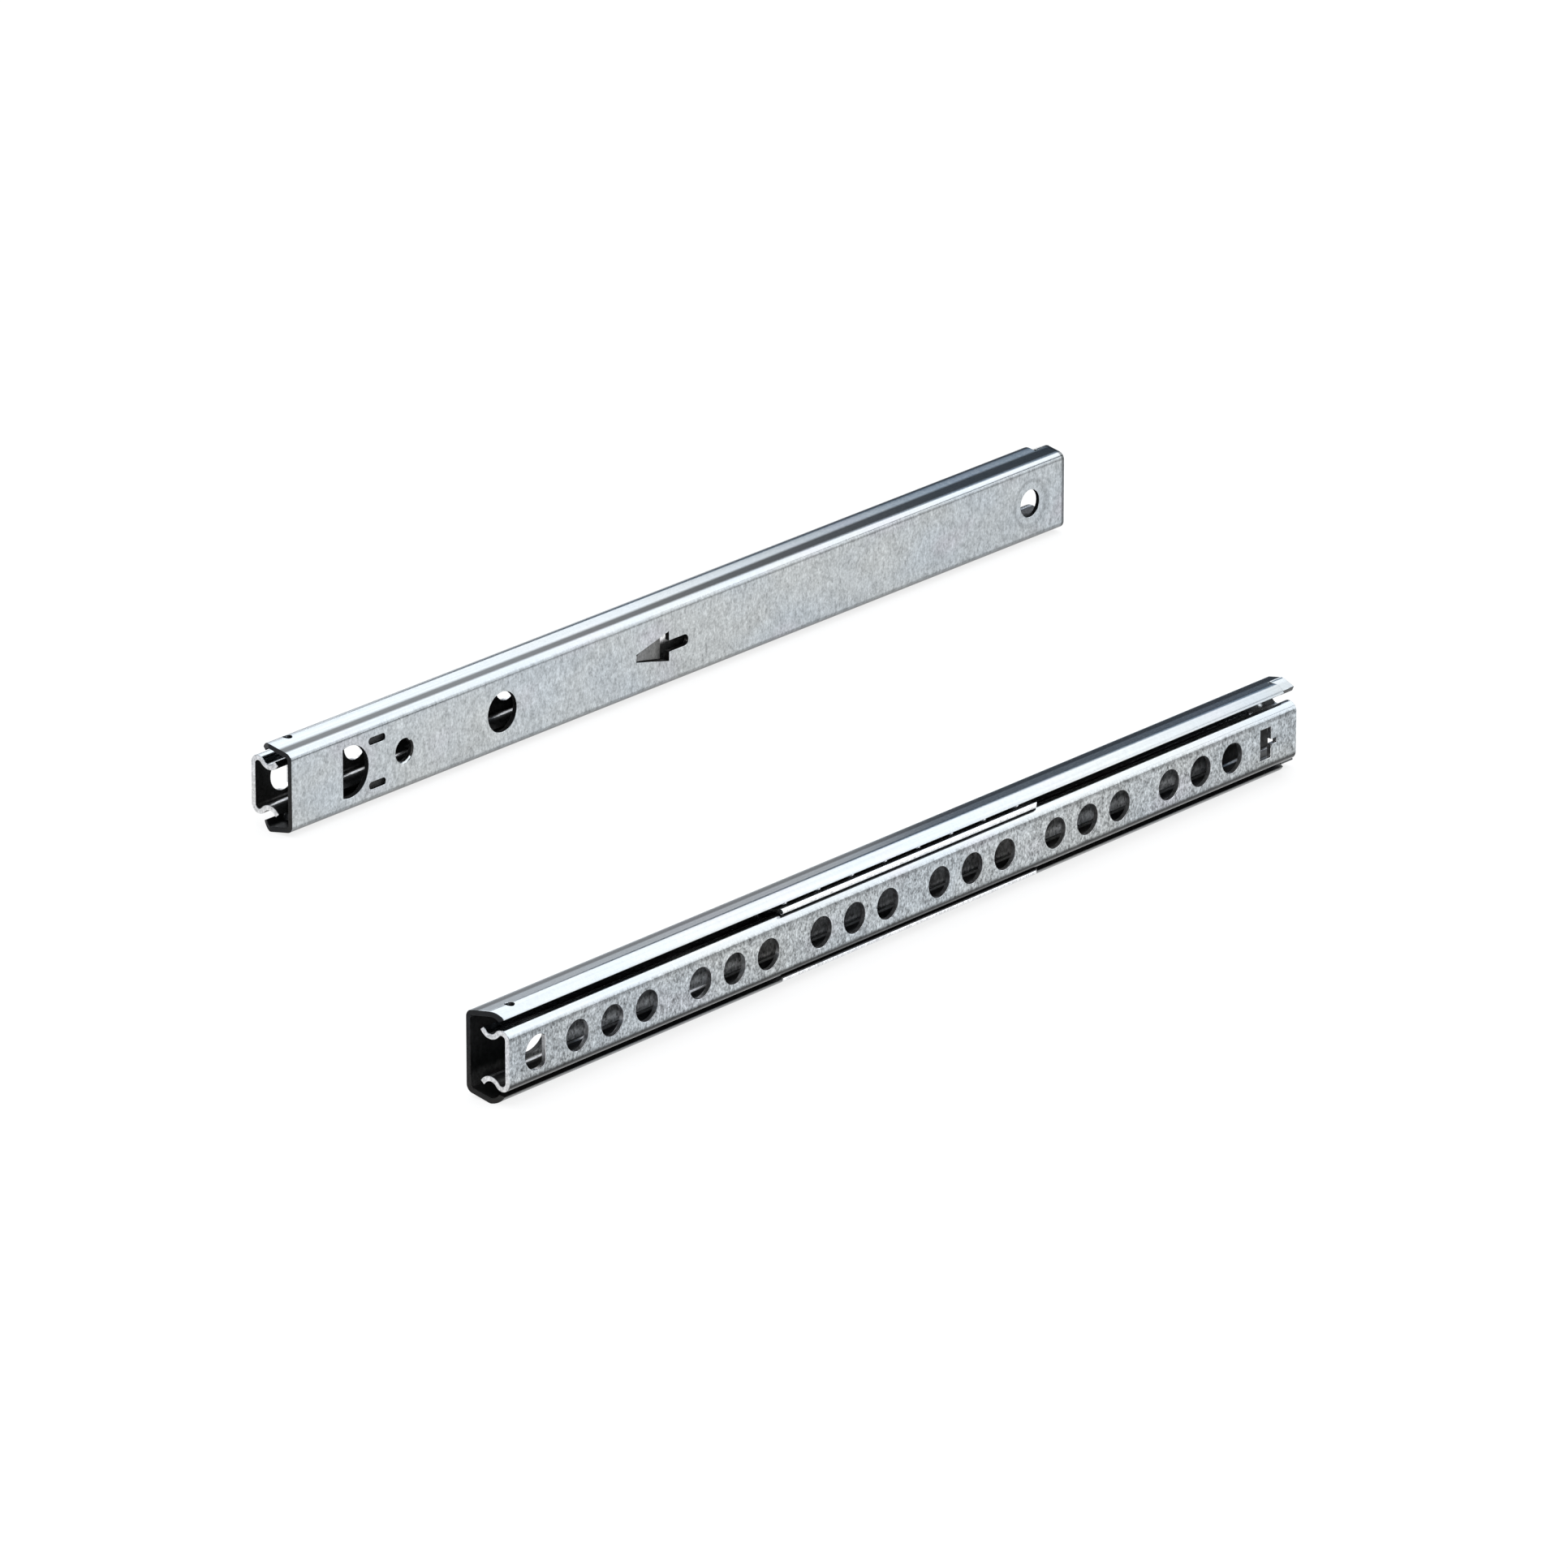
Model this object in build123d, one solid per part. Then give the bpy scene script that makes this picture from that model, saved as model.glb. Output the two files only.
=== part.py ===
from build123d import *
import os
from math import asin, copysign, cos, degrees, floor, radians, sin

# A pair of ball-bearing drawer slides for a 17 mm groove, standing as they hang
# on a drawer. Millimetres, +Z up, front of the drawer at +X. The origin is under
# the middle of the pair, at the height of the lower flanges.

# Driving dimensions: the pair
rail_length = 214.0          # inner rail, which is also the slide's nominal length
slide_height = 17.0
slide_depth = 10.0           # outer rail's back to inner rail's face
web_spacing = 106.0          # between the backs of the two outer rails
stagger = 70.0               # the right slide stands this far ahead of the left one
overhang = 3.0               # outer rail past the inner rail's front end

# Driving dimensions: sheet, balls and raceways
sheet = 1.0
ball_diameter = 2.9
ball_clearance = 0.1
race_setback = 4.4           # inner rail's face to the middle of the balls
flange_slope = 11.0          # degrees that the outer flanges lean outwards
outer_bend = 1.0             # bend radii are those of the sheet's middle
lip_angle = 27.0             # where the outer raceway ends, above level
inner_wrap = 40.0            # where the inner raceway ends, below level
inner_tip = 0.5              # straight stretch behind the inner raceway
shoulder_run = 0.1           # straight stretch from shoulder to inner raceway

# Driving dimensions: ball cage
cage_length = 70.0
cage_sheet = 0.5
cage_bend = 0.75
cage_gap = 0.25              # cage to the pressed tongue
cage_tuck = 0.05             # cage's web inside the inner raceways' full width
hem_radius = 0.5
hem_lift = 0.14
hem_setback = 1.1            # hem's middle to the inner rail's face
cage_corner = 1.6
ball_pitch = 9.0
ball_count = 8

# Driving dimensions: outer rail's holes and stops
catch_hole_x = 15.4
catch_hole_radius = 5.0
catch_hole_flat = 1.8        # flat's distance behind the hole's middle
pocket_x = 20.5
pocket_z = 4.3
pocket_length = 4.4
pocket_width = 1.4
pocket_depth = 0.6
rear_hole_x = 30.0
rear_hole_radius = 2.15
countersink = 0.3
access_hole_x = 56.5
access_hole_radius = 3.9
tongue_x = 93.5
tongue_length = 9.1
tongue_tip = 0.7             # half widths
tongue_base = 2.95
tongue_gap = 0.15
tongue_end_gap = 0.9
key_slot_length = 5.4
key_slot_radius = 1.1
front_hole_setback = 10.0    # from the outer rail's front end
front_hole_radius = 2.75
dish_radius = 4.8
dish_depth = 0.15
dish_slope = 0.5             # width of the dish's sloping rim
lip_chamfer = 2.0
dimple_x = 5.0
dimple_radius = 1.3
dimple_tip = 0.6
dimple_depth = 1.4
dimple_pit = 0.9
dimple_pit_tip = 0.45
dimple_pit_depth = 2.0       # below the crown
dimple_gap = 0.7             # cage to the dimple's foot at full travel
tab_width = 3.4
tab_slit = 0.6
tab_bend = 1.0
tab_turn = 35.0
tab_run = 2.4
tab_seat = 0.6               # flange left behind the tab's bend

# Driving dimensions: inner rail's holes and stops
screw_hole_x = 17.5
screw_hole_radius = 2.9
system_pitch = 32.0
screw_pitch = 9.0
screws_per_group = 3
rear_slot_x = 7.3
rear_slot_radius = 3.25
rear_slot_flat = 2.0
front_slot_setback = 10.4    # from the inner rail's front end
front_slot_width = 3.1
front_slot_height = 6.0
front_slot_nose = 1.6
front_slot_nose_height = 1.0
pip_radius = 0.9
pip_tip = 0.5
pip_height = 0.55
pip_gap = 0.1                # last ball to the pip's foot at full travel

# Sizes that follow
race_radius = ball_diameter / 2 + ball_clearance
race_middle = race_radius + sheet / 2
ball_y = slide_depth - race_setback
ball_z = slide_height / 2 - sheet - race_radius
outer_length = rail_length + overhang
cage_x = (rail_length - cage_length) / 2
cage_web_y = ball_y - race_radius - sheet + cage_tuck - cage_sheet / 2
tongue_drop = cage_web_y - cage_sheet / 2 - cage_gap - sheet    # just clears the cage
first_ball_x = cage_x + (cage_length - ball_pitch * (ball_count - 1)) / 2
last_ball_x = first_ball_x + ball_pitch * (ball_count - 1)
cage_travel = cage_x - dimple_x - dimple_radius - dimple_gap
travel = 2 * cage_travel     # the inner rail rolls twice as far as the balls
pip_x = last_ball_x - cage_travel + travel + ball_diameter / 2 + pip_radius + pip_gap
front_hole_x = outer_length - front_hole_setback
front_slot_x = rail_length - front_slot_setback
group_length = screw_pitch * (screws_per_group - 1)
hole_row_length = front_slot_x - 2 * screw_hole_radius - screw_hole_x - group_length
screw_groups = 1 + floor(hole_row_length / system_pitch)
pair_length = outer_length + stagger
reach = slide_height + slide_depth      # longer than any cut through one slide


def run(length):
    return ("run", length, 0.0)


def bend(radius, turn):
    return ("bend", radius, turn)


def beside(point, heading, offset):
    """The point that lies offset to the left of a heading."""
    angle = radians(heading)
    return (point[0] - offset * sin(angle), point[1] + offset * cos(angle))


def advance(point, heading, step):
    """Where one run or bend of the sheet's middle line ends."""
    kind, size, turn = step
    if kind == "run":
        angle = radians(heading)
        return (point[0] + size * cos(angle), point[1] + size * sin(angle)), heading
    centre = beside(point, heading, copysign(size, turn))
    return beside(centre, heading + turn, -copysign(size, turn)), heading + turn


def side_edges(point, heading, steps, offset):
    """One face of the bent sheet as edges in the YZ plane."""
    edges = []
    for step in steps:
        end, end_heading = advance(point, heading, step)
        first = Vector(0, *beside(point, heading, offset))
        last = Vector(0, *beside(end, end_heading, offset))
        if step[0] == "run":
            edges.append(Line(first, last))
        else:
            half = (step[0], step[1], step[2] / 2)
            middle = Vector(0, *beside(*advance(point, heading, half), offset))
            edges.append(ThreePointArc(first, middle, last))
        point, heading = end, end_heading
    return edges


def sheet_section(start, heading, steps, thickness):
    """The section of a bent sheet that follows steps from its start."""
    left = side_edges(start, heading, steps, thickness / 2)
    right = side_edges(start, heading, steps, -thickness / 2)
    start_cap = Line(right[0] @ 0, left[0] @ 0)
    end_cap = Line(left[-1] @ 1, right[-1] @ 1)
    return Face(Wire([start_cap, *left, end_cap, *right]))


def channel_section(web_y, half_steps, thickness):
    """A channel whose upper half leaves the middle of its web by half_steps."""
    point, heading = (web_y, 0.0), 90.0
    for step in half_steps:
        point, heading = advance(point, heading, step)
    steps = list(reversed(half_steps)) + half_steps
    return sheet_section((point[0], -point[1]), 180 - heading, steps, thickness)


def lengthwise(section, length, start=0.0):
    return Pos(start, 0, 0) * Solid.extrude(section, Vector(length, 0, 0))


def punch(sketch, low_y, high_y):
    """A tool through a web: the sketch's X and Y are the slide's X and Z."""
    return Pos(0, high_y, 0) * Rot(90, 0, 0) * extrude(sketch, high_y - low_y)


def trim(sketch):
    """A tool through both flanges: the sketch is seen from above."""
    return extrude(sketch, reach, both=True)


def both_rows(tool):
    return [tool, mirror(tool, Plane.XY)]


def outer_section():
    tangent_y = ball_y - race_middle * sin(radians(flange_slope))
    tangent_z = ball_z + race_middle * cos(radians(flange_slope))
    bend_end_y = sheet / 2 + outer_bend * (1 - sin(radians(flange_slope)))
    flange = (tangent_y - bend_end_y) / cos(radians(flange_slope))
    bend_end_z = tangent_z - flange * sin(radians(flange_slope))
    web = bend_end_z - outer_bend * cos(radians(flange_slope))
    steps = [
        run(web),
        bend(outer_bend, flange_slope - 90),
        run(flange),
        bend(race_middle, lip_angle - 90 - flange_slope),
    ]
    return channel_section(sheet / 2, steps, sheet)


def inner_steps():
    wrap = radians(inner_wrap)
    shoulder_turn = 180 - inner_wrap
    race_y = ball_y + race_middle * cos(wrap)
    race_z = ball_z - race_middle * sin(wrap)
    shoulder_y = race_y + shoulder_run * sin(wrap)
    shoulder_z = race_z + shoulder_run * cos(wrap)
    radius = (slide_depth - sheet / 2 - shoulder_y) / (1 + cos(wrap))
    web = shoulder_z - radius * sin(wrap)
    return [
        run(web),
        bend(radius, shoulder_turn),
        run(shoulder_run),
        bend(race_middle, 2 * inner_wrap - 180),
        run(inner_tip),
    ]


def cage_leg_z():
    """The cage's legs run midway between the inner shoulder and the outer lip."""
    shoulder_top = inner_steps()[0][1] + inner_steps()[1][1] + sheet / 2
    lip_bottom = ball_z + race_radius * sin(radians(lip_angle))
    return (shoulder_top + lip_bottom) / 2


def catch_hole(x, radius, flat):
    """A round hole whose side is cut flat: behind the middle, or ahead if flat < 0."""
    keep = Pos(x - flat + copysign(radius, flat), 0) * Rectangle(2 * radius, 2 * radius)
    return (Pos(x, 0) * Circle(radius)) & keep


def tongue_outline(side_gap, length):
    end = tongue_base + (tongue_tip - tongue_base) * (1 - length / tongue_length)
    tip, base = tongue_tip - side_gap, end - side_gap
    corners = [(0, -tip), (length, -base), (length, base), (0, tip)]
    return Pos(tongue_x, 0) * make_face(Polyline(*corners, close=True))


def key_slot():
    length = key_slot_length + tongue_end_gap - key_slot_radius
    start = tongue_x + tongue_length - tongue_end_gap
    neck = Pos(start + length / 2, 0) * Rectangle(length, 2 * key_slot_radius)
    return neck + Pos(start + length, 0) * Circle(key_slot_radius)


def tongue():
    """The lanced tongue, hinged at its blunt tip and pressed into the rail."""
    length = tongue_length - tongue_end_gap
    plate = punch(tongue_outline(tongue_gap, length), 0, sheet)
    tilt = degrees(asin(tongue_drop / length))
    return Pos(tongue_x, 0, 0) * Rot(0, 0, tilt) * Pos(-tongue_x, 0, 0) * plate


def pressed_pocket():
    """A shallow pressing with round ends."""
    outline = Pos(pocket_x + pocket_length / 2, pocket_z) * SlotOverall(pocket_length, pocket_width)
    return punch(outline, -sheet, pocket_depth)


def end_tab():
    """The front end of a flange, bent in across the ball track."""
    slope = radians(flange_slope)
    tangent_y = ball_y - race_middle * sin(slope)
    tangent_z = ball_z + race_middle * cos(slope)
    start_y = tab_root_y() - tab_seat
    start_z = tangent_z - (tangent_y - start_y) * sin(slope) / cos(slope)
    steps = [
        run(tab_seat / cos(slope)),
        bend(tab_bend, -tab_turn),
        run(tab_run),
    ]
    section = sheet_section((start_y, start_z), flange_slope, steps, sheet)
    return lengthwise(section, tab_width, outer_length - tab_width)


def tab_root_y():
    return ball_y - race_radius - ball_clearance


def cone_at(x, z, radius, tip, height):
    """A cone over the ball track that narrows from z, upwards if height > 0."""
    cone = Cone(radius, tip, abs(height), align=(Align.CENTER, Align.CENTER, Align.MIN))
    turned = cone if height > 0 else Rot(180, 0, 0) * cone
    return Pos(x, ball_y, z) * turned


def outer_rail():
    rail = lengthwise(outer_section(), outer_length)
    holes = [
        catch_hole(catch_hole_x, catch_hole_radius, catch_hole_flat),
        Pos(rear_hole_x, 0) * Circle(rear_hole_radius),
        Pos(access_hole_x, 0) * Circle(access_hole_radius),
        Pos(front_hole_x, 0) * Circle(front_hole_radius),
        tongue_outline(0.0, tongue_length),
        key_slot(),
    ]
    for hole in holes:
        rail -= punch(hole, -sheet, 2 * sheet)
    rail += tongue()
    for pocket in both_rows(pressed_pocket()):
        rail -= pocket
    sunk = Cone(rear_hole_radius, rear_hole_radius + countersink, countersink)
    rail -= Pos(rear_hole_x, countersink / 2, 0) * Rot(90, 0, 0) * sunk
    dish = Cone(dish_radius - dish_slope, dish_radius, dish_depth)
    rail -= Pos(front_hole_x, dish_depth / 2, 0) * Rot(90, 0, 0) * dish

    chamfer = [(-1, ball_y), (0, ball_y), (lip_chamfer, slide_depth), (-1, slide_depth)]
    rail -= trim(make_face(Polyline(*chamfer, close=True)))
    notch_x = outer_length - tab_width - tab_slit
    notch_length = tab_width + tab_slit + 1
    notch_depth = slide_depth - tab_root_y()
    notch = Pos(notch_x + notch_length / 2, slide_depth - notch_depth / 2)
    rail -= trim(notch * Rectangle(notch_length, notch_depth))
    for tab in both_rows(end_tab()):
        rail += tab

    race_top = ball_z + race_radius
    crown = race_top + sheet
    root = race_top + sheet / 4
    bump = cone_at(dimple_x, root, dimple_radius, dimple_tip, race_top - dimple_depth - root)
    pit = cone_at(dimple_x, crown, dimple_pit, dimple_pit_tip, -dimple_pit_depth)
    for added in both_rows(bump):
        rail += added
    for removed in both_rows(pit):
        rail -= removed
    return rail


def inner_rail():
    section = channel_section(slide_depth - sheet / 2, inner_steps(), sheet)
    rail = lengthwise(section, rail_length)
    low, high = slide_depth - 2 * sheet, slide_depth + sheet
    for group in range(screw_groups):
        for screw in range(screws_per_group):
            x = screw_hole_x + system_pitch * group + screw_pitch * screw
            rail -= punch(Pos(x, 0) * Circle(screw_hole_radius), low, high)
    rail -= punch(catch_hole(rear_slot_x, rear_slot_radius, -rear_slot_flat), low, high)
    slot = Pos(front_slot_x + front_slot_width / 2, 0) * Rectangle(front_slot_width, front_slot_height)
    nose_length = front_slot_width + front_slot_nose
    nose = Pos(front_slot_x + nose_length / 2, 0) * Rectangle(nose_length, front_slot_nose_height)
    rail -= punch(slot + nose, low, high)
    race_bottom = ball_z - race_radius
    pip = cone_at(pip_x, race_bottom - sheet / 2, pip_radius, pip_tip, pip_height + sheet / 2)
    for added in both_rows(pip):
        rail += added
    return rail


def ball_places():
    return [first_ball_x + ball_pitch * index for index in range(ball_count)]


def ball_cage():
    leg_z = cage_leg_z()
    hem_y = slide_depth - hem_setback
    steps = [
        run(leg_z - cage_bend),
        bend(cage_bend, -90),
        run(hem_y - cage_web_y - cage_bend),
    ]
    cage = lengthwise(channel_section(cage_web_y, steps, cage_sheet), cage_length, cage_x)
    rod = Rot(0, 90, 0) * Cylinder(hem_radius, cage_length)
    for hem in both_rows(Pos(cage_x + cage_length / 2, hem_y, leg_z + hem_lift) * rod):
        cage += hem
    front, edge = cage_x + cage_length, hem_y + hem_radius
    corner = Pos(front - cage_corner / 2, edge - cage_corner / 2) * Rectangle(cage_corner, cage_corner)
    corner -= Pos(front - cage_corner, edge - cage_corner) * Circle(cage_corner)
    cage -= trim(corner)
    for x in ball_places():
        cage -= trim(Pos(x, ball_y) * Circle(race_radius))
    return cage


def place_left(shape):
    """The left slide is the same slide, turned over about its length."""
    return Pos(-pair_length / 2, -web_spacing / 2, slide_height / 2) * Rot(180, 0, 0) * shape


def place_right(shape):
    return Pos(stagger - pair_length / 2, web_spacing / 2, slide_height / 2) * shape


def slide_pieces():
    """Each piece of one slide by name, with the rows named as on the right slide."""
    pieces = {
        "outer_rail": outer_rail(),
        "inner_rail": inner_rail(),
        "ball_cage": ball_cage(),
    }
    for index, x in enumerate(ball_places(), start=1):
        for row, z in (("upper", ball_z), ("lower", -ball_z)):
            pieces[f"{row}_ball_{index}"] = Pos(x, ball_y, z) * Sphere(ball_diameter / 2)
    return pieces


def main():
    os.makedirs("parts", exist_ok=True)
    turned_over = {"upper": "lower", "lower": "upper"}
    for name, shape in slide_pieces().items():
        row, _, rest = name.partition("_")
        left_name = f"{turned_over[row]}_{rest}" if row in turned_over else name
        export_step(place_left(shape), f"parts/left_{left_name}.step")
        export_step(place_right(shape), f"parts/right_{name}.step")


main()
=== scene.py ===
import bpy
from math import cos, pi, radians, sin
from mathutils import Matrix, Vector


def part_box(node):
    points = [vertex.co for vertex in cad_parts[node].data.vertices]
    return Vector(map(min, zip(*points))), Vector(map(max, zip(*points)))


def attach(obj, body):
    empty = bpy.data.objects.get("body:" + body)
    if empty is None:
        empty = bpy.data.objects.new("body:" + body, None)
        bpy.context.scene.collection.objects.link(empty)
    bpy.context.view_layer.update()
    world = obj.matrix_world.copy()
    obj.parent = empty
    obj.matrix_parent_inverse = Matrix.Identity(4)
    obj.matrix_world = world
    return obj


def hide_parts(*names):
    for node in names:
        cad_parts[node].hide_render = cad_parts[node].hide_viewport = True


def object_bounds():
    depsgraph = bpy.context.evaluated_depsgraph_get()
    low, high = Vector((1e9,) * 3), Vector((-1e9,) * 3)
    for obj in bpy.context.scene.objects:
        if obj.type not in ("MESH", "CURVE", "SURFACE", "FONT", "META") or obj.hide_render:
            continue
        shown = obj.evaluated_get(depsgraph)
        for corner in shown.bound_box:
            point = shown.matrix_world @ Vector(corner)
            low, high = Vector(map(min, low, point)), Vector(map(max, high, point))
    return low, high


# A pair of ball-bearing drawer slides in bright zinc-plated steel, for a 17 mm groove.
# Metres, +X to the front of the drawer, +Z up. Seen from the camera, the left slide shows its
# inner rail's perforated face and the right one its outer rail's back.

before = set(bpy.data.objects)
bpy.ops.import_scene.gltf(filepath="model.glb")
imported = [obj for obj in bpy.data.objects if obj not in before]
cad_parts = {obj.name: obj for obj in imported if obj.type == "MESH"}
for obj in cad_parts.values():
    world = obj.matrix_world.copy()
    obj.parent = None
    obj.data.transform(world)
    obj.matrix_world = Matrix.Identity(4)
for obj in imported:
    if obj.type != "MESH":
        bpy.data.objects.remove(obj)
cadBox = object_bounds()
bpy.ops.object.select_all(action="DESELECT")
sides = ("left", "right")
mm = 0.001
middleHeight = (cadBox[0].z + cadBox[1].z) / 2   # both slides are the same above and below it
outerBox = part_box("right_outer_rail")
railBack = outerBox[0].y                         # both outer rails' backs lie this far from Y = 0
frontHoleSetback = 10 * mm
frontHole = outerBox[1].x - frontHoleSetback
print("frame loaded:", len(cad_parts), "nodes")


class Link:
    # one node output; arithmetic on it adds Math nodes
    def __init__(self, graph, socket):
        self.graph = graph
        self.socket = socket

    def __add__(self, other):
        return self.graph.math("ADD", self, other)

    def __radd__(self, other):
        return self.graph.math("ADD", other, self)

    def __sub__(self, other):
        return self.graph.math("SUBTRACT", self, other)

    def __rsub__(self, other):
        return self.graph.math("SUBTRACT", other, self)

    def __mul__(self, other):
        return self.graph.math("MULTIPLY", self, other)

    def __rmul__(self, other):
        return self.graph.math("MULTIPLY", other, self)


class Graph:
    # the node tree of a material or of the world
    def __init__(self, owner):
        owner.use_nodes = True
        self.tree = owner.node_tree
        self.tree.nodes.clear()

    def add(self, kind, settings={}, sockets={}, output=0):
        node = self.tree.nodes.new(kind)
        for name, value in settings.items():
            if name == "stops":
                self.setStops(node.color_ramp, value)
            else:
                setattr(node, name, value)
        for name, value in sockets.items():
            if isinstance(value, Link):
                self.tree.links.new(value.socket, node.inputs[name])
            else:
                node.inputs[name].default_value = value
        return Link(self, node.outputs[output]) if len(node.outputs) else node

    def setStops(self, ramp, stops):
        while len(ramp.elements) < len(stops):
            ramp.elements.new(1.0)
        for element, (place, shade) in zip(ramp.elements, stops):
            element.position = place
            element.color = (shade, shade, shade, 1.0)

    def math(self, operation, first, second):
        return self.add("ShaderNodeMath", {"operation": operation}, {0: first, 1: second})

    def scaled(self, vector, scale):
        return self.add("ShaderNodeVectorMath", {"operation": "MULTIPLY"}, {0: vector, 1: scale})

    def noise(self, place, scale, detail=2.0, roughness=0.5):
        sockets = {"Vector": self.scaled(place, scale), "Scale": 1.0}
        sockets |= {"Detail": detail, "Roughness": roughness}
        return self.add("ShaderNodeTexNoise", {}, sockets, "Fac")

    def axis(self, vector, index):
        return self.add("ShaderNodeSeparateXYZ", {}, {"Vector": vector}, index)

    def fade(self, value, start, end, low=0.0, high=1.0):
        # low before start, high after end
        sockets = {"Value": value, "From Min": start, "From Max": end, "To Min": low, "To Max": high}
        return self.add("ShaderNodeMapRange", {}, sockets)

    def ramp(self, value, stops):
        return self.add("ShaderNodeValToRGB", {"stops": stops}, {"Fac": value}, "Color")

    def mix(self, factor, first, second, blend="MIX"):
        settings = {"data_type": "RGBA", "blend_type": blend}
        return self.add("ShaderNodeMix", settings, {0: factor, 6: first, 7: second}, 2)

    def finish(self, surface, kind="ShaderNodeOutputMaterial"):
        self.add(kind, {}, {"Surface": surface})


# scale along X, Y and Z, detail and roughness of each noise
zincPatterns = {
    "grain": ((2600, 1900, 1800), 3.0, 0.65),
    "fleck": ((900, 800, 750), 2.0, 0.6),
    "streak": ((1500, 900, 420), 2.0, 0.5),      # short strokes across the strip
    "cloud": ((38, 60, 60), 2.0, 0.5),           # passivation tint
    "blush": ((55, 80, 95), 1.0, 0.5),
    "lines": ((14, 1500, 1500), 2.0, 0.6),       # left by the rolls
}
cloudStops = [(0.40, 0.0), (0.62, 1.0)]
blushStops = [(0.55, 0.0), (0.72, 0.7)]
# one dictionary for each finish, the plain plate first
zincPlate = {
    "cool": (0.462, 0.502, 0.532, 1.0),
    "warm": (0.482, 0.505, 0.510, 1.0),
    "grain": 1.8,                # weights of the three noises in the mottle
    "fleck": 0.7,
    "streak": 0.35,
    "mottle": 1.0,               # their share of the color, on the flat faces
    "cleanMottle": 0.12,         # the same on the bends and flanges
    "faceFade": 0.7 * mm,        # from the flat face to the bend
    "faceTone": 1.0,
    "rolled": 0.30,              # lengthwise lines on the bends and flanges
    "metallic": 1.0,
    "specular": 0.5,
    "roughness": 0.15,
    "streakRoughness": 0.08,
    "cloudRoughness": 0.06,
    "bump": 0.12,
    "bumpDistance": 0.02 * mm,
}
outerZinc = dict(
    zincPlate,
    rose=(0.488, 0.488, 0.528, 1.0),
    faceHalf=6.6 * mm,           # half height of the flat web
    grain=1.5,
    streak=0.6,
    edgeLine=(6.2 * mm, 6.5 * mm, 6.8 * mm, 7.1 * mm),   # painted shade: a dark line where the web meets the bend
    edgeDepth=0.40,
    flangeDarkReflection=(1.2 * mm, 1.7 * mm, 2.7 * mm, 3.3 * mm),     # painted reflection: a dark line along the flange beside the web, from its back
    flangeReflectionDepth=(57 * mm, 124 * mm, 0.80, 0.91),         # the painted line deeper towards the front
    flangeReflectionSpread=(90 * mm, 195 * mm, 0.0, 0.8 * mm),     # and wider
    raceShade=(4.5 * mm, 5.7 * mm),                      # painted shade on the race, darker at the front
    raceLength=(100 * mm, 190 * mm, 0.0, 0.42),
    heightShade=(-6.7 * mm, -7.1 * mm),                         # painted shade on the underside, by height from the middle
    heightShadeDepth=0.74,
    unshadedSpan=(-2 * mm, -1 * mm, 110 * mm, 200 * mm),       # painted shade at the ends outside this span, measured from the rear end
    endShadeDepth=0.08,
    rimShade=(4.0 * mm, 4.3 * mm, 4.8 * mm, 5.1 * mm),       # painted shade at the dish's rim, measured from the front hole
    rimShadeDepth=0.22,
    cutLine=(0.6 * mm, 0.9 * mm),                        # painted shade line at the front end
    cutDepth=0.65,
)
innerZinc = dict(
    zincPlate,
    rose=outerZinc["rose"],
    faceHalf=4.2 * mm,
    faceTone=0.86,
    mottle=1.8,
    # painted shade: a dark line where the face meets the bend
    edgeLine=(3.6 * mm, 4.0 * mm, 4.4 * mm, 4.7 * mm),
    edgeDepth=0.34,
    # painted shade on the underside
    heightShade=(-3.9 * mm, -4.35 * mm),
    heightShadeDepth=0.92,
    # painted shade on the face towards both ends
    unshadedSpan=(0.0, 60 * mm, 150 * mm, 214 * mm),
    endShadeDepth=0.09,
)
insideZinc = dict(zincPlate, faceHalf=6.6 * mm)
webInside = dict(
    insideZinc,
    cool=(0.44, 0.46, 0.48, 1.0),
    warm=(0.47, 0.47, 0.46, 1.0),
    metallic=0.35,
    specular=0.1,
    roughness=0.42,
    mottle=2.0,
    heightShade=(-4.6 * mm, -3.4 * mm),                         # painted shade above the lower track
    heightShadeDepth=0.74,
    # painted shade near both open ends
    unshadedSpan=(9 * mm, 19 * mm, 192 * mm, 200 * mm),
    endShadeDepth=0.95,
)
darkSteel = dict(insideZinc, specular=0.12, roughness=0.5)
# near black on the tracks and the flanges' insides: painted shade
trackShadeZinc = dict(darkSteel, cool=(0.075, 0.078, 0.083, 1.0), warm=(0.085, 0.083, 0.08, 1.0), roughness=0.4)
# near black in the pressed pockets: painted shade
recessShadeZinc = dict(darkSteel, cool=(0.045, 0.047, 0.05, 1.0), warm=(0.05, 0.05, 0.048, 1.0))
# dark grey on the lanced tongue: painted shade
tongueShadeZinc = dict(darkSteel, cool=(0.20, 0.205, 0.215, 1.0), warm=(0.21, 0.21, 0.205, 1.0))
# near-black cut edges and hole walls: darker bare steel, darkened further as painted shade
bareAndShadedCut = dict(darkSteel, cool=(0.022, 0.023, 0.025, 1.0), warm=(0.03, 0.029, 0.028, 1.0))
rolledStrip = dict(insideZinc, cool=(0.80, 0.82, 0.85, 1.0), warm=(0.84, 0.84, 0.84, 1.0), roughness=0.2)
# the inner rail's cut edges and hole walls, lighter than its face: a painted highlight
litCutZinc = dict(insideZinc, cool=(0.60, 0.61, 0.63, 1.0), warm=(0.63, 0.63, 0.63, 1.0), roughness=0.35)
bearingSteel = {
    "color": (0.50, 0.51, 0.53, 1.0),
    "roughness": 0.07,
    "smear": 0.06,
    "smearPattern": ((700, 700, 700), 3.0),
}


def between(graph, value, start, full, past, end):
    # rises from start to full, falls from past to end
    return graph.fade(value, start, full) * graph.fade(value, past, end, 1.0, 0.0)


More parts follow.
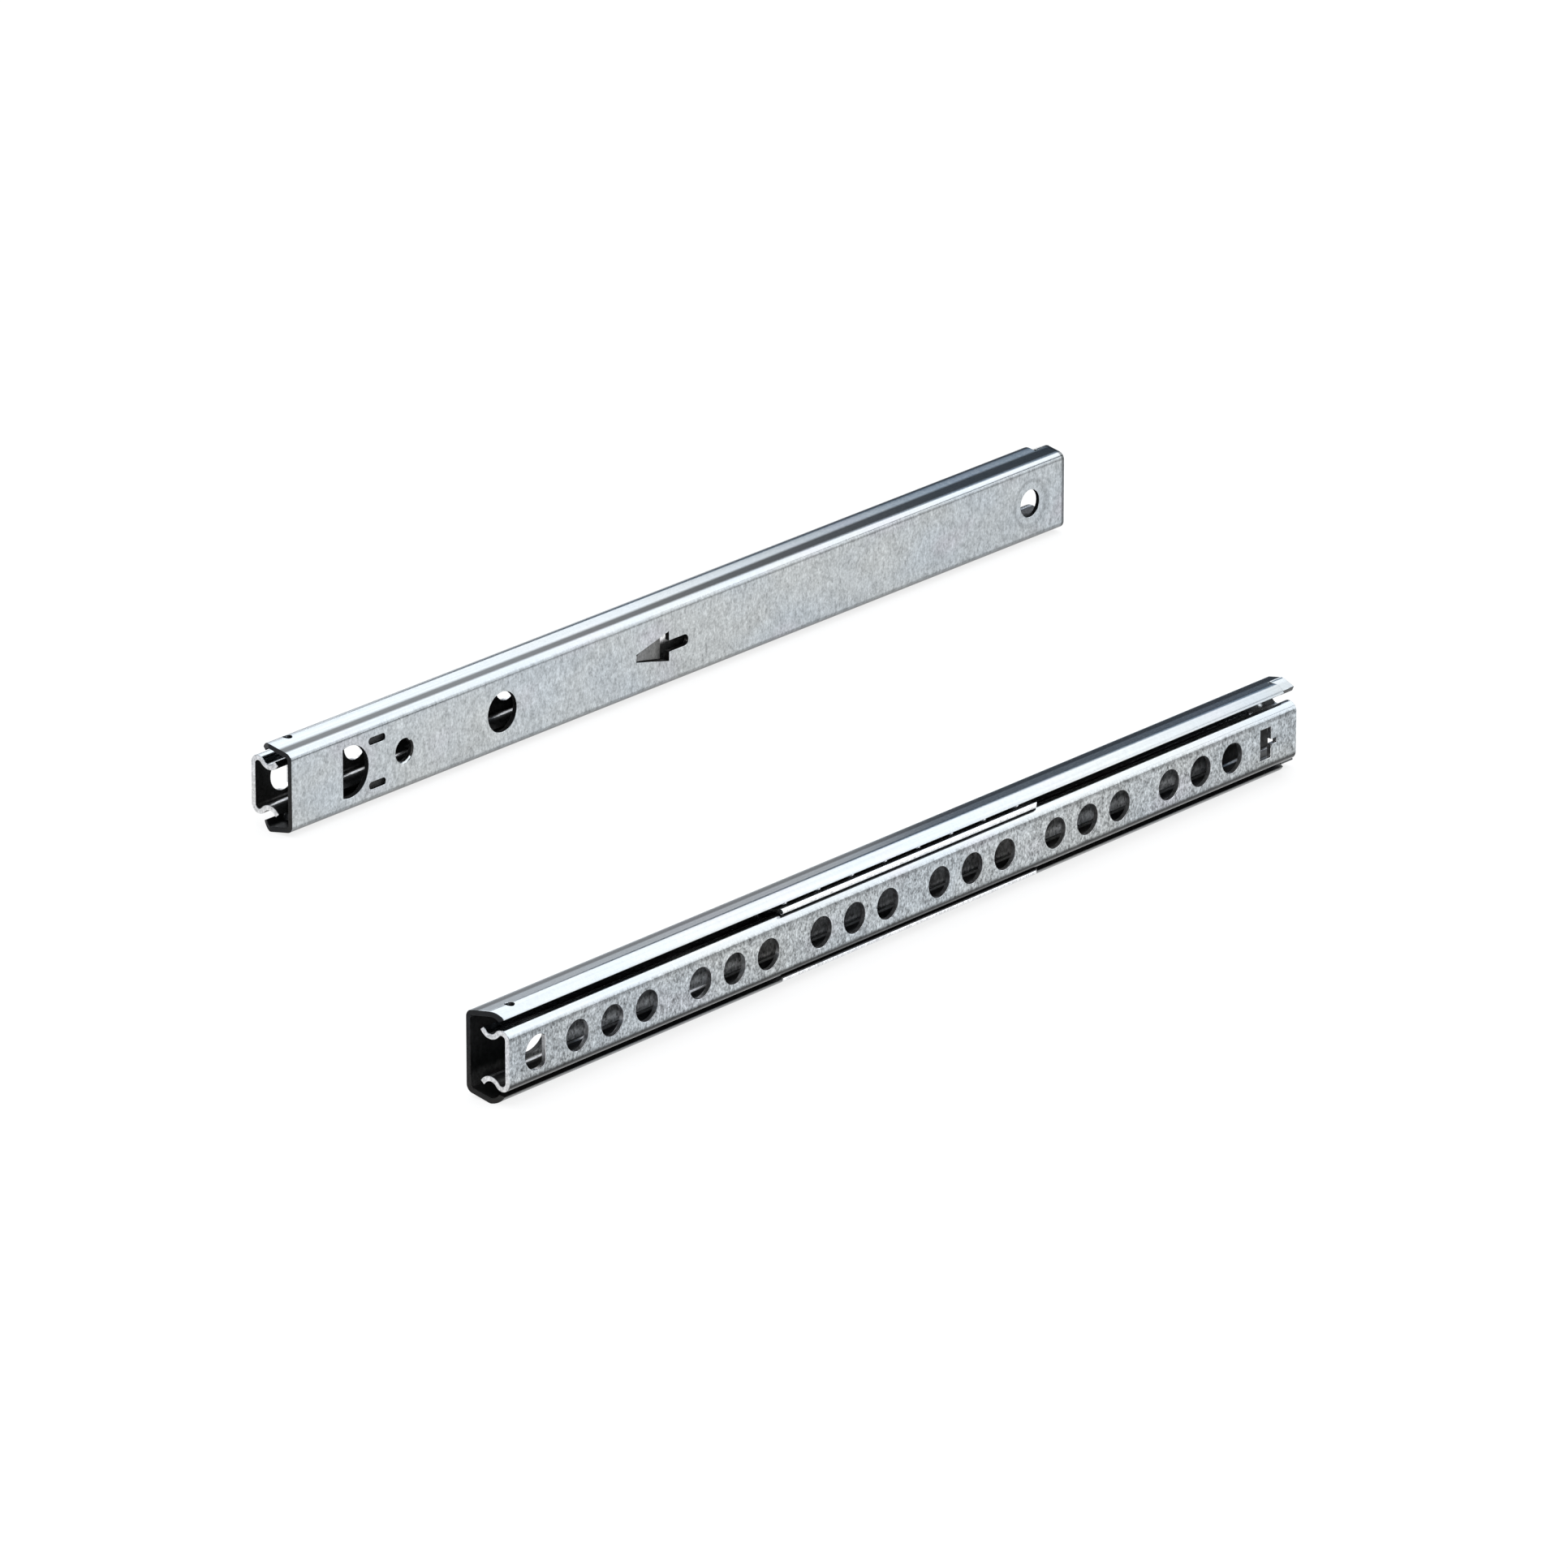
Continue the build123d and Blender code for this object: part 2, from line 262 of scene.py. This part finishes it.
def platedSteel(name, look, rearEnd=0.0):
    material = bpy.data.materials.new(name)
    graph = Graph(material)
    place = graph.add("ShaderNodeTexCoord", {}, {}, "Object")
    height = graph.axis(place, 2) - middleHeight
    fromMiddle = graph.math("ABSOLUTE", height, 0.0)
    edge = look["faceHalf"]
    flat = graph.fade(fromMiddle, edge, edge + look["faceFade"], 1.0, 0.0)
    depth = look["cleanMottle"] + flat * (look["mottle"] - look["cleanMottle"])
    noises = (graph.noise(place, *pattern) for pattern in zincPatterns.values())
    grain, fleck, streak, cloud, blush, lines = noises
    tint = graph.mix(graph.ramp(cloud, cloudStops), look["cool"], look["warm"])
    if "rose" in look:
        tint = graph.mix(graph.ramp(blush, blushStops), tint, look["rose"])
    spangle = (grain - 0.5) * look["grain"] + (fleck - 0.5) * look["fleck"] + (streak - 0.5) * look["streak"]
    shade = 1.0 + spangle * depth
    shade = shade * (1.0 + (lines - 0.5) * (1.0 - flat) * look["rolled"])
    shade = shade * (1.0 - flat * (1.0 - look["faceTone"]))
    # painted shade: a dark line where the flat face meets the bend
    if "edgeLine" in look:
        shade = shade * (1.0 - between(graph, fromMiddle, *look["edgeLine"]) * look["edgeDepth"])
    # painted reflection: a dark line along the flange, deeper and wider towards the front
    if "flangeDarkReflection" in look:
        fromBack = graph.math("ABSOLUTE", graph.axis(place, 1), 0.0) - railBack
        fromRear = graph.axis(place, 0) - rearEnd
        start, full, past, end = look["flangeDarkReflection"]
        narrowed = fromBack - graph.fade(fromRear, *look["flangeReflectionSpread"])
        flangeDarkReflection = graph.fade(fromBack, start, full) * graph.fade(narrowed, past, end, 1.0, 0.0)
        shade = shade * (1.0 - flangeDarkReflection * graph.fade(fromRear, *look["flangeReflectionDepth"]))
        # painted shade on the race, darker towards the front
        race = graph.fade(fromBack, *look["raceShade"])
        shade = shade * (1.0 - race * graph.fade(fromRear, *look["raceLength"]))
    # painted shade in a ring at the dish's rim
    if "rimShade" in look:
        across = graph.axis(place, 0) - frontHole
        radius = graph.math("SQRT", across * across + height * height, 0.0)
        shade = shade * (1.0 - between(graph, radius, *look["rimShade"]) * flat * look["rimShadeDepth"])
    # painted shade by height
    if "heightShade" in look:
        shade = shade * (1.0 - graph.fade(height, *look["heightShade"]) * look["heightShadeDepth"])
    # painted shade line at the front end
    if "cutLine" in look:
        fromFront = outerBox[1].x - graph.axis(place, 0)
        shade = shade * (1.0 - graph.fade(fromFront, *look["cutLine"], look["cutDepth"], 0.0))
    # painted shade on the flat face outside the unshaded span
    if "unshadedSpan" in look:
        endShade = 1.0 - between(graph, graph.axis(place, 0) - rearEnd, *look["unshadedSpan"])
        shade = shade * (1.0 - flat * endShade * look["endShadeDepth"])
    grey = graph.add("ShaderNodeCombineColor", {}, {0: shade, 1: shade, 2: shade})
    color = graph.mix(1.0, tint, grey, "MULTIPLY")
    unevenness = (streak - 0.5) * look["streakRoughness"] + (cloud - 0.5) * look["cloudRoughness"]
    roughness = look["roughness"] + unevenness
    relief = {"Strength": look["bump"], "Distance": look["bumpDistance"], "Height": grain}
    bump = graph.add("ShaderNodeBump", {}, relief, "Normal")
    sockets = {"Base Color": color, "Metallic": look["metallic"], "Roughness": roughness, "Normal": bump}
    sockets["Specular IOR Level"] = look["specular"]
    graph.finish(graph.add("ShaderNodeBsdfPrincipled", {}, sockets))
    return material


def polishedSteel(name, look):
    material = bpy.data.materials.new(name)
    graph = Graph(material)
    place = graph.add("ShaderNodeTexCoord", {}, {}, "Object")
    smear = graph.noise(place, *look["smearPattern"])
    roughness = look["roughness"] + smear * look["smear"]
    sockets = {"Base Color": look["color"], "Metallic": 1.0, "Roughness": roughness}
    graph.finish(graph.add("ShaderNodeBsdfPrincipled", {}, sockets))
    return material


outerPlate = platedSteel("outerRailZinc", outerZinc, outerBox[0].x)
trackPlate = platedSteel("trackShade", trackShadeZinc)
pressedPlate = platedSteel("recessShade", recessShadeZinc)
tonguePlate = platedSteel("tongueShade", tongueShadeZinc)
cagePlate = platedSteel("cageStrip", rolledStrip)
brightCut = platedSteel("litCutEdge", litCutZinc)
bareCut = platedSteel("bareAndShadedCut", bareAndShadedCut)
ballSteel = polishedSteel("bearingSteel", bearingSteel)
print("finishes made")


sheetEdges = {
    "merge": 0.001 * mm,
    "flatWithin": 0.3,           # degrees
    "sharpOver": 38.0,           # degrees
    "rounding": 0.09 * mm,
    "cageRounding": 0.05 * mm,
    "segments": 2,
}
surfaceMarks = {
    "cutWithin": 5.3 * mm,       # a web's holes stay this near its middle
    "sunkOver": 0.25 * mm,       # deeper than this into the web is a pressing
    "tongueWithin": 3.5 * mm,    # and this near the middle it is the lanced tongue
    "webFacing": 0.9,            # a face normal's share along Y: over this it is the web's
    "wallFacing": 0.1,           # and under this, near the middle, a hole's wall
    "endFacing": 0.5,            # share along X over which it is a rail's end or a hole's wall
}


def select(piece):
    bpy.ops.object.select_all(action="DESELECT")
    piece.select_set(True)
    bpy.context.view_layer.objects.active = piece


def webPlane(node):
    # where the web's outer face lies, and which way along Y the channel opens
    low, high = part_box(node)
    facesOut = node.startswith("left") == ("inner" in node)
    return (low.y, 1) if facesOut else (high.y, -1)


def markSurfaces(piece, webBack, inward):
    # finish 1: cut edges, 2: the web's inside, 3: the tracks, 4: pockets, 5: the tongue; 3, 4 and 5 are near
    # black or dark grey as painted shade
    marks = surfaceMarks
    depths = [vertex.co.y for vertex in piece.data.vertices]
    centre = Vector((0.0, (min(depths) + max(depths)) / 2, middleHeight))
    for face in piece.data.polygons:
        towards = centre - face.center
        towards.x = 0.0
        fromMiddle = abs(face.center.z - middleHeight)
        nearMiddle = fromMiddle < marks["cutWithin"]
        flat = abs(face.normal.y) > marks["webFacing"]
        wall = nearMiddle and abs(face.normal.y) < marks["wallFacing"]
        sunk = (face.center.y - webBack) * inward
        if abs(face.normal.x) > marks["endFacing"] or wall:
            face.material_index = 1
        elif face.normal.dot(towards) > 0.0:
            face.material_index = 2 if flat and nearMiddle else 3
        elif flat and nearMiddle and sunk > marks["sunkOver"]:
            face.material_index = 5 if fromMiddle < marks["tongueWithin"] else 4


def joinedCopy(node, name):
    # the node's own shape, its loose triangles joined into one closed mesh
    piece = bpy.data.objects.new(name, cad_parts[node].data.copy())
    bpy.context.collection.objects.link(piece)
    select(piece)
    bpy.ops.mesh.customdata_custom_splitnormals_clear()
    bpy.ops.object.mode_set(mode="EDIT")
    bpy.ops.mesh.select_all(action="SELECT")
    bpy.ops.mesh.remove_doubles(threshold=sheetEdges["merge"])
    bpy.ops.object.mode_set(mode="OBJECT")
    piece.data.materials.clear()
    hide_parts(node)
    return piece


def finishedSheet(node, name, plate, cut, inside, rounding):
    # the cut edges are broken as a punch and a barrel leave them
    piece = joinedCopy(node, name)
    bpy.ops.object.mode_set(mode="EDIT")
    bpy.ops.mesh.select_all(action="SELECT")
    bpy.ops.mesh.dissolve_limited(angle_limit=radians(sheetEdges["flatWithin"]))
    bpy.ops.object.mode_set(mode="OBJECT")
    for finish in (plate, cut, inside, trackPlate, pressedPlate, tonguePlate):
        piece.data.materials.append(finish)
    markSurfaces(piece, *webPlane(node))
    bpy.ops.object.shade_smooth_by_angle(angle=radians(sheetEdges["sharpOver"]))
    bevel = piece.modifiers.new("brokenEdges", "BEVEL")
    bevel.limit_method = "ANGLE"
    bevel.angle_limit = radians(sheetEdges["sharpOver"])
    bevel.width = rounding
    bevel.segments = sheetEdges["segments"]
    bevel.use_clamp_overlap = False
    bevel.loop_slide = False
    bpy.ops.object.modifier_apply(modifier=bevel.name)
    bpy.ops.object.shade_smooth_by_angle(angle=radians(sheetEdges["sharpOver"]))
    weighted = piece.modifiers.new("flatFaces", "WEIGHTED_NORMAL")
    weighted.keep_sharp = True
    bpy.ops.object.modifier_apply(modifier=weighted.name)
    return piece


def finishedBall(node, name):
    piece = joinedCopy(node, name)
    piece.data.materials.append(ballSteel)
    bpy.ops.object.shade_smooth()
    return piece


ballsInRow = 8
for side in sides:
    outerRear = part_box(f"{side}_outer_rail")[0].x
    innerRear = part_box(f"{side}_inner_rail")[0].x
    webPlate = platedSteel(f"{side}WebInside", webInside, outerRear)
    innerPlate = platedSteel(f"{side}InnerRailZinc", innerZinc, innerRear)
    width, cageWidth = sheetEdges["rounding"], sheetEdges["cageRounding"]
    rail = finishedSheet(f"{side}_outer_rail", f"{side}OuterRail", outerPlate, bareCut, webPlate, width)
    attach(rail, "outer_rails")
    rail = finishedSheet(f"{side}_inner_rail", f"{side}InnerRail", innerPlate, brightCut, trackPlate, width)
    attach(rail, f"{side}_inner")
    cage = finishedSheet(f"{side}_ball_cage", f"{side}BallCage", cagePlate, cagePlate, webPlate, cageWidth)
    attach(cage, f"{side}_cage")
    for row in ("upper", "lower"):
        for number in range(1, ballsInRow + 1):
            ball = finishedBall(f"{side}_{row}_ball_{number}", f"{side}{row.title()}Ball{number}")
            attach(ball, f"{side}_cage")
print("pieces finished")


studio = {
    "floor": (0.93, 0.93, 0.93, 1.0),
    "floorSize": 6.0,
    "floorGlow": 0.80,           # share of plain white where the camera and the metal see the floor
    "world": (0.62, 0.78, 1.0, 1.0),
    "worldLight": 0.16,
}


def rays(graph, *names):
    path = graph.tree.nodes.new("ShaderNodeLightPath")
    total = 0.0
    for name in names:
        total = Link(graph, path.outputs[name]) + total
    return graph.add("ShaderNodeClamp", {}, {"Value": total})


bpy.ops.mesh.primitive_plane_add(size=studio["floorSize"], location=(0, 0, cadBox[0].z))
floor = bpy.context.object
floor.name = "studioFloor"
bpy.ops.object.transform_apply()
floorFinish = bpy.data.materials.new("paleFloor")
graph = Graph(floorFinish)
lit = graph.add("ShaderNodeBsdfDiffuse", {}, {"Color": studio["floor"]})
glow = graph.add("ShaderNodeEmission", {}, {"Color": (1, 1, 1, 1), "Strength": 1.0})
seen = rays(graph, "Is Camera Ray", "Is Glossy Ray", "Is Transmission Ray") * studio["floorGlow"]
graph.finish(graph.add("ShaderNodeMixShader", {}, {0: seen, 1: lit, 2: glow}))
floor.data.materials.append(floorFinish)

world = bpy.data.worlds.new("studio")
bpy.context.scene.world = world
graph = Graph(world)
dim = graph.add("ShaderNodeBackground", {}, {"Color": studio["world"], "Strength": studio["worldLight"]})
graph.finish(dim, "ShaderNodeOutputWorld")

# place, the point it faces, size, radiance and, where it isn't white, color
softboxes = {
    "overhead": ((0.10, -0.185, 0.55), (0.10, -0.185, 0.0), (1.50, 0.93), 1.85),
    "overheadRear": ((0.05, 0.515, 0.55), (0.05, 0.515, 0.0), (1.41, 0.47), 1.85),
    "rearRight": ((1.055, 0.515, 0.55), (1.055, 0.515, 0.0), (0.60, 0.47), 0.30, (0.6, 0.85, 1.15)),
    "front": ((0.80, -0.65, 0.30), (0.80, 0.0, 0.30), (0.95, 0.52), 1.70),
    "rear": ((0.20, 1.05, 0.52), (0.0, 0.0, 0.0), (1.4, 0.5), 1.2),
    "rearLow": ((0.41, 1.08, 0.16), (0.0, 0.0, 0.0), (1.1, 0.28), 0.5),
    "frontLeft": ((-1.13, -0.98, 0.33), (0.0, 0.0, 0.0), (0.2, 0.2), 80.0),
}


def softbox(name, place, target, size, radiance, color=(1.0, 1.0, 1.0)):
    # a mirror shows it at its radiance
    lamp = bpy.data.lights.new(name, "AREA")
    lamp.shape = "RECTANGLE"
    lamp.color = color
    lamp.size, lamp.size_y = size
    lamp.energy = radiance * lamp.size * lamp.size_y * pi
    holder = bpy.data.objects.new(name, lamp)
    bpy.context.collection.objects.link(holder)
    holder.location = place
    aim = Vector(target) - Vector(place)
    holder.rotation_euler = aim.to_track_quat("-Z", "Y").to_euler()
    holder.visible_camera = False


for name, look in softboxes.items():
    softbox(name, *look)

cameraView = {
    "azimuth": -49.03,
    "elevation": 20.84,
    "distance": 2.371,
    "lens": 300.0,
    "sensor": 36.0,
    "seesTo": 20.0,
    "aim": (-0.0015, -0.0018, 0.0036),
}
azimuth, elevation = radians(cameraView["azimuth"]), radians(cameraView["elevation"])
back = Vector((sin(azimuth) * cos(elevation), -cos(azimuth) * cos(elevation), sin(elevation)))
lens = bpy.data.cameras.new("camera")
lens.lens = cameraView["lens"]
lens.sensor_width = cameraView["sensor"]
lens.clip_end = cameraView["seesTo"]
camera = bpy.data.objects.new("camera", lens)
bpy.context.collection.objects.link(camera)
camera.location = Vector(cameraView["aim"]) + back * cameraView["distance"]
camera.rotation_euler = (-back).to_track_quat("-Z", "Y").to_euler()
bpy.context.scene.camera = camera
bpy.context.scene.view_settings.view_transform = "Standard"
print("floor, light and camera set")
